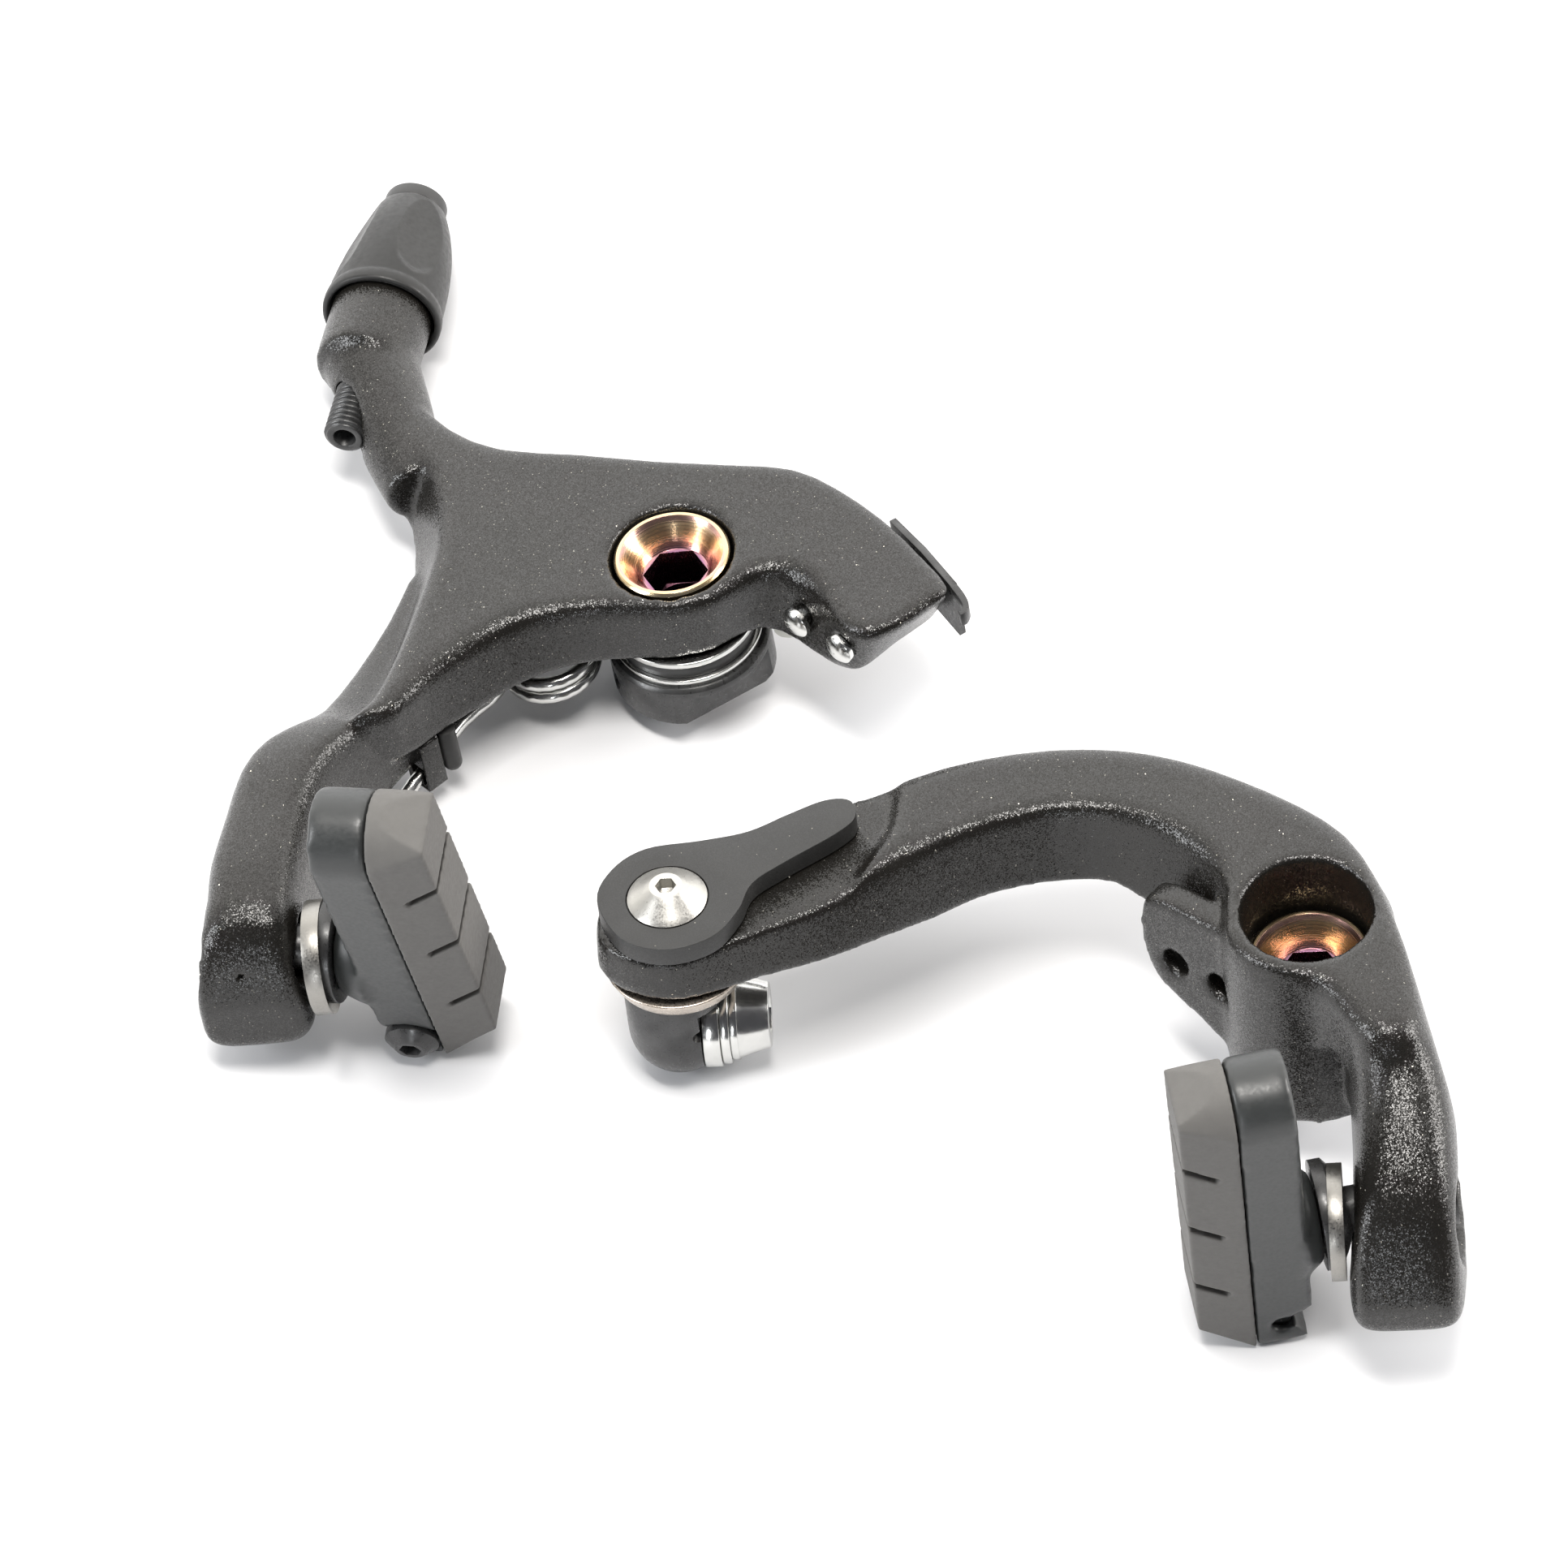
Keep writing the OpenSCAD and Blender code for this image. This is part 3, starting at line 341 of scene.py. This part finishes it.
def heat_colours(name, arm):
    """Colours in rings round the bolt, from the socket out, with painted shade darkening them down in the
    socket.
    """
    inner_r, outer_r, socket_floor, socket_top = 3.2 * MM, 6.7 * MM, 13.8 * MM, 15.7 * MM
    painted_socket_shade_tone = (0.09, 0.045, 0.06)
    steel = Finish(name, (0.6, 0.4, 0.2), metallic=1.0, roughness=0.2)
    at, turn = arms[arm]
    in_arm = steel.node("Mapping", steel.place, tuple(at), tuple(turn), vector_type="TEXTURE")
    x, y, z = steel.node("SeparateXYZ", in_arm.outputs[0]).outputs
    square = steel.maths("ADD", steel.maths("MULTIPLY", x, x), steel.maths("MULTIPLY", y, y))
    out = steel.maths("POWER", square, 0.5)
    wander = steel.maths("MULTIPLY_ADD", steel.noise(0.16, 3), 1.6 * MM, -0.8 * MM)
    ring = steel.range(steel.maths("ADD", out, wander), inner_r, outer_r, 0, 1)
    ramp = steel.node("ValToRGB", ring)
    fill_ramp(ramp.color_ramp, cone_tones)
    # painted shade: the colour darkens towards a near-black violet down in the hexagon socket
    painted_socket_shade = steel.range(z, socket_floor, socket_top, 1, 0)
    steel.put("Base Color", steel.blend(painted_socket_shade, ramp.outputs[0], painted_socket_shade_tone))
    # fine rings left by the lathe
    grooves = steel.node("CombineXYZ", steel.maths("MULTIPLY", out, 9.0), z, 0.0).outputs[0]
    turned_face = steel.node("TexNoise", grooves)
    turned_face.inputs["Scale"].default_value = 2200
    turned_marks = turned_face.outputs["Fac"]
    steel.put("Normal", steel.relief(turned_marks, 0.6, 0.01))
    steel.put("Roughness", steel.range(turned_marks, 0.3, 0.7, 0.14, 0.3))
    return steel.material


for arm in "ab":
    bolt = filed(f"pivot_bolt_{arm}", f"pivot_bolt_head_{arm}", 0.12)
    dress(bolt, f"pivot_bolt_{arm}", heat_colours(f"heat_coloured_{arm}", arm))

# ---- Bushings, washers and the spacer ----
# Dark turned bushings run in the bores. On the stop arm two plated steel washers sit either side of a
# black plastic spacer, pressed against the casting by the tension nut.


def bright_metal(name, colour, roughness):
    """Bare metal with a fine grain and slow clouds of a darker tone."""
    steel = Finish(name, colour, metallic=1.0, roughness=roughness)
    fine = steel.noise(5.0, 2)
    steel.put("Roughness", steel.range(fine, 0.25, 0.75, roughness * 0.7, roughness * 1.4))
    steel.put("Normal", steel.relief(fine, 0.12, 0.006))
    cloud = steel.range(steel.noise(0.5, 2), 0.35, 0.7, 0, 0.35)
    steel.put("Base Color", steel.blend(cloud, colour, tuple(c * 0.72 for c in colour)))
    return steel.material


def black_plastic(name, tone, roughness):
    """Moulded plastic: a fine grain, and a tone that drifts a little."""
    resin = Finish(name, (tone, tone, tone), roughness=roughness, Specular_IOR_Level=0.45)
    grain = resin.noise(3.5, 3)
    resin.put("Normal", resin.relief(grain, 0.3, 0.015))
    resin.put("Roughness", resin.range(grain, 0.3, 0.7, roughness * 0.85, roughness * 1.15))
    shade = resin.range(resin.noise(0.3, 2), 0.3, 0.7, tone * 0.8, tone * 1.2)
    resin.put("Base Color", resin.grey(shade))
    return resin.material


plated = bright_metal("bright_plate", (0.66, 0.66, 0.64), 0.18)
turned = bright_metal("turned_steel", (0.13, 0.115, 0.1), 0.36)
spacer_resin = black_plastic("spacer_resin", 0.03, 0.42)
for node, coat, slot in (("bushing_a", turned, "bush"), ("bushing_b", turned, "bush"),
                         ("washer_upper_a", plated, "bright_steel"),
                         ("washer_lower_a", plated, "bright_steel"),
                         ("spacer_a", spacer_resin, "spacer_plastic")):
    dress(filed(node, node + "_turned", 0.1), node, coat)

# ---- Tension nuts ----
# Black-oxide steel nuts hold the bushings from behind; the stop arm's has two wrench flats and a small
# grub screw in its side.


def black_oxide(name, tone, roughness):
    """Steel under a thin black skin that shows a little of the metal."""
    steel = Finish(name, (tone, tone, tone), metallic=0.55, roughness=roughness)
    fine = steel.noise(2.2, 3)
    steel.put("Roughness", steel.range(fine, 0.3, 0.7, roughness * 0.75, roughness * 1.25))
    steel.put("Normal", steel.relief(fine, 0.18, 0.01))
    shade = steel.range(steel.noise(0.35, 2), 0.3, 0.7, tone * 0.75, tone * 1.25)
    steel.put("Base Color", steel.grey(shade))
    return steel.material


oxide = black_oxide("black_oxide", 0.055, 0.32)
for node in ("tension_nut_a", "tension_nut_b", "nut_grub_screw"):
    dress(filed(node, node + "_oxide", 0.16), node, oxide)

# ---- Return spring ----
# A bright steel wire wound into a coil under the stop arm. One end, in a clear plastic sleeve, bears beside
# the pivot; the other passes a cast lug with a rubber bumper and runs on to the shoe.


def soft_rubber(name, tone, roughness):
    """Moulded rubber with a slight bloom, faintly warm."""
    rubber = Finish(name, (tone, tone, tone), roughness=roughness, Specular_IOR_Level=0.4,
                    Sheen_Weight=0.04, Sheen_Roughness=0.5)
    skin = rubber.noise(1.6, 4)
    rubber.put("Normal", rubber.relief(skin, 0.4, 0.02))
    rubber.put("Roughness", rubber.range(skin, 0.3, 0.7, roughness - 0.08, roughness + 0.08))
    shade = rubber.range(rubber.noise(0.25, 3), 0.3, 0.7, tone * 0.82, tone * 1.18)
    rubber.put("Base Color", rubber.grey(shade, rubber.maths("MULTIPLY", shade, 0.96)))
    return rubber.material


spring_wire = copy_of("return_spring", "spring_wire")
finer = spring_wire.modifiers.new("finer", "SUBSURF")
finer.levels = finer.render_levels = 1
dress(evaluated(spring_wire), "return_spring", plated)
sleeve_resin = Finish("sleeve_resin", (0.72, 0.72, 0.66), roughness=0.35)
sleeve_cloud = sleeve_resin.blend(sleeve_resin.noise(0.6, 2), (0.78, 0.78, 0.72), (0.6, 0.6, 0.55))
sleeve_resin.put("Base Color", sleeve_cloud)
sleeve_resin.put("Normal", sleeve_resin.relief(sleeve_resin.noise(3, 2), 0.2, 0.01))
dress(filed("spring_sleeve", "sleeve", 0.2), "spring_sleeve", sleeve_resin.material)
dress(filed("spring_collar", "spring_lug", 0.4, 3), "spring_collar", cast_coat)
boot_rubber = soft_rubber("boot_rubber", 0.013, 0.44)
dress(filed("bumper", "bumper_rubber", 0.1), "bumper", boot_rubber)

# ---- Nose: rivets and wear plate ----
# A thin blackened steel strip is bent round the stop arm's nose, where the other arm bears. Two domed
# steel rivets through the nose hold it.
dress(filed("nose_rivets", "rivet_heads", 0.15, 3), "nose_rivets", plated)
dress(filed("wear_plate", "wear_strip", 0.12), "wear_plate", oxide)

# ---- Cable adjuster ----
# A black threaded barrel passes through the neck; a moulded rubber boot with four wide flutes covers its
# upper half, and a black cap closes the boot round the cable hole.
stop_at, stop_turn = Vector((-38.75, 25.3, 16)) * MM, radians(80)
boot_low, boot_top = 19.0, 36.1
boot_r, boot_end_r, boot_bore_r = 7.0, 4.1, 3.2
flutes, flute_turn, flute_r = 4, radians(37.6), 15


def stop_frame():
    """Turns the cable stop's own frame, Z along the cable, into the part's frame."""
    at, tilt = arms["a"]
    in_arm = Matrix.Translation(stop_at) @ Matrix.Rotation(stop_turn, 4, "Z")
    return Matrix.Translation(at) @ tilt.to_matrix().to_4x4() @ in_arm @ Matrix.Rotation(pi / 2, 4, "Y")


def scallop(radius, z, a):
    """How deep a flute is at a height and angle: a wide trough that starts in an arch over the lip."""
    off = (a - flute_turn + pi / flutes) % (2 * pi / flutes) - pi / flutes
    reach = 5.7 - 0.15 * (z - 26) + flute_r
    if abs(reach * sin(off)) >= flute_r:
        return 0
    trough = reach * cos(off) - (flute_r ** 2 - (reach * sin(off)) ** 2) ** 0.5
    start = boot_low + 2.7 + 3.4 * (off / 0.54) ** 2
    rise = min(1, max(0, (z - start) / 1.4))
    return max(0, radius - trough) * rise * rise * (3 - 2 * rise)


def boot_rows():
    """The boot's outline as radius and height: its open lower rim, the rolled lip, the taper, the top."""
    up = 90
    rows = [(6.25, boot_low + 4.3), (6.25, boot_low + 0.3), (6.35, boot_low), (6.7, boot_low)]
    rows += [(boot_r - inset, boot_low + z)
             for inset, z in ((0.08, 0.15), (0, 0.5), (0, 1.1), (0.06, 1.5), (0.2, 1.8))]
    foot_r, height = boot_r - 0.25, boot_top - boot_low - 2.3
    for k in range(up + 1):
        share = k / up
        rows.append((foot_r - (foot_r - boot_end_r) * share ** 2.4, boot_low + 2 + height * share))
    rows += [(boot_end_r - 0.2, boot_top - 0.08), (boot_end_r - 0.4, boot_top)]
    return rows + [(boot_bore_r, boot_top), (boot_bore_r, boot_top - 1.9)]


def boot_mesh():
    """The boot as rings of points, with the flutes pressed in."""
    around = 256
    shape = bmesh.new()
    rings = []
    for radius, z in boot_rows():
        fluted = z > boot_low + 2 and radius > boot_end_r + 0.05
        ring = []
        for k in range(around):
            a = 2 * pi * k / around
            r = radius - (scallop(radius, z, a) if fluted else 0)
            ring.append(shape.verts.new((r * cos(a) * MM, r * sin(a) * MM, z * MM)))
        rings.append(ring)
    for low, high in zip(rings, rings[1:]):
        for k in range(around):
            n = (k + 1) % around
            shape.faces.new((low[k], low[n], high[n], high[k]))
    mesh = bpy.data.meshes.new("boot")
    shape.normal_update()
    shape.to_mesh(mesh)
    shape.free()
    mesh.transform(stop_frame())
    return mesh


boot = bpy.data.objects.new("fluted_boot", boot_mesh())
bpy.context.scene.collection.objects.link(boot)
dress(boot, "adjuster_boot", boot_rubber)
dress(filed("boot_cap", "boot_end_cap", 0.3, 3), "boot_cap", spacer_resin)
dress(filed("cable_adjuster", "threaded_barrel", 0.06, 1), "cable_adjuster", oxide)

# ---- Quick-release lever ----
# A flat lever with a thumb tab, fine matt black, held on the arm's round end by a satin dome-headed
# screw; a bronze-grey eccentric ring shows under the arm.
lever_coat = powder_coat("fine_powder_coat", (0.016, 0.016, 0.0155), 0.0005, 0.16, 0.44)
satin = bright_metal("satin_steel", (0.5, 0.49, 0.46), 0.36)
bronzed = bright_metal("bronzed_ring", (0.5, 0.44, 0.38), 0.3)
dress(filed("quick_release_lever", "lever", 0.9, 5), "quick_release_lever", lever_coat)
dress(filed("lever_screw", "lever_screw_head", 0.25, 3), "lever_screw", satin)
dress(filed("eccentric_ring", "eccentric", 0.3, 3), "eccentric_ring", bronzed)

# ---- Cable anchor ----
# A black turned body with a round end hangs from the lever's pin. A bright nut presses a washer and a
# round plate on its flat face, and the brake cable is pinched between them.
dress(filed("anchor_body", "anchor_barrel", 0.2), "anchor_body", oxide)
for node in ("clamp_plate", "clamp_washer", "clamp_nut"):
    dress(filed(node, node + "_bright", 0.14), node, plated)

# ---- Shoes ----
# Each shoe is a cast holder in satin dark grey with a grey rubber pad slid in from its open end and kept by
# a small screw. A stud passes through the leg, with a ball seat of a black and a bright washer.


def satin_holder():
    """Thin satin paint over the cast holder."""
    paint = Finish("satin_holder", (0.085, 0.09, 0.09), roughness=0.38)
    fine = paint.noise(2.4, 3)
    paint.put("Normal", paint.relief(fine, 0.22, 0.012))
    paint.put("Roughness", paint.range(fine, 0.3, 0.7, 0.33, 0.45))
    drift = paint.blend(paint.noise(0.3, 2), (0.024, 0.026, 0.026), (0.032, 0.034, 0.034))
    paint.put("Base Color", drift)
    return paint.material


def pad_rubber():
    """Hard brake rubber with a gritty face."""
    rubber = Finish("pad_rubber", (0.2, 0.2, 0.195), roughness=0.62, Specular_IOR_Level=0.35)
    grit = rubber.noise(1.8, 5, rough=0.65)
    rubber.put("Normal", rubber.relief(grit, 0.45, 0.03))
    rubber.put("Roughness", rubber.range(grit, 0.3, 0.7, 0.55, 0.72))
    drift = rubber.blend(rubber.noise(0.7, 4), (0.098, 0.095, 0.09), (0.118, 0.114, 0.108))
    rubber.put("Base Color", drift)
    return rubber.material


dull = bright_metal("dull_steel", (0.3, 0.29, 0.27), 0.36)
holder_paint, pad_mix = satin_holder(), pad_rubber()
for arm in "ab":
    for node, name, grain, rounds, coat, slot in (
            (f"shoe_holder_{arm}", f"holder_{arm}", 0.29, 44, holder_paint, "holder"),
            (f"brake_pad_{arm}", f"pad_{arm}", 0.2, 6, pad_mix, "pad")):
        dress(tumbled(node, name, grain, rounds), node, coat)
    for node, coat, slot in ((f"pad_screw_{arm}", oxide, "black_steel"),
                             (f"shoe_stud_{arm}", oxide, "black_steel"),
                             (f"dish_washer_{arm}", dull, "bright_steel"),
                             (f"ball_washer_{arm}", oxide, "black_steel")):
        dress(filed(node, node + "_turned", 0.12), node, coat)
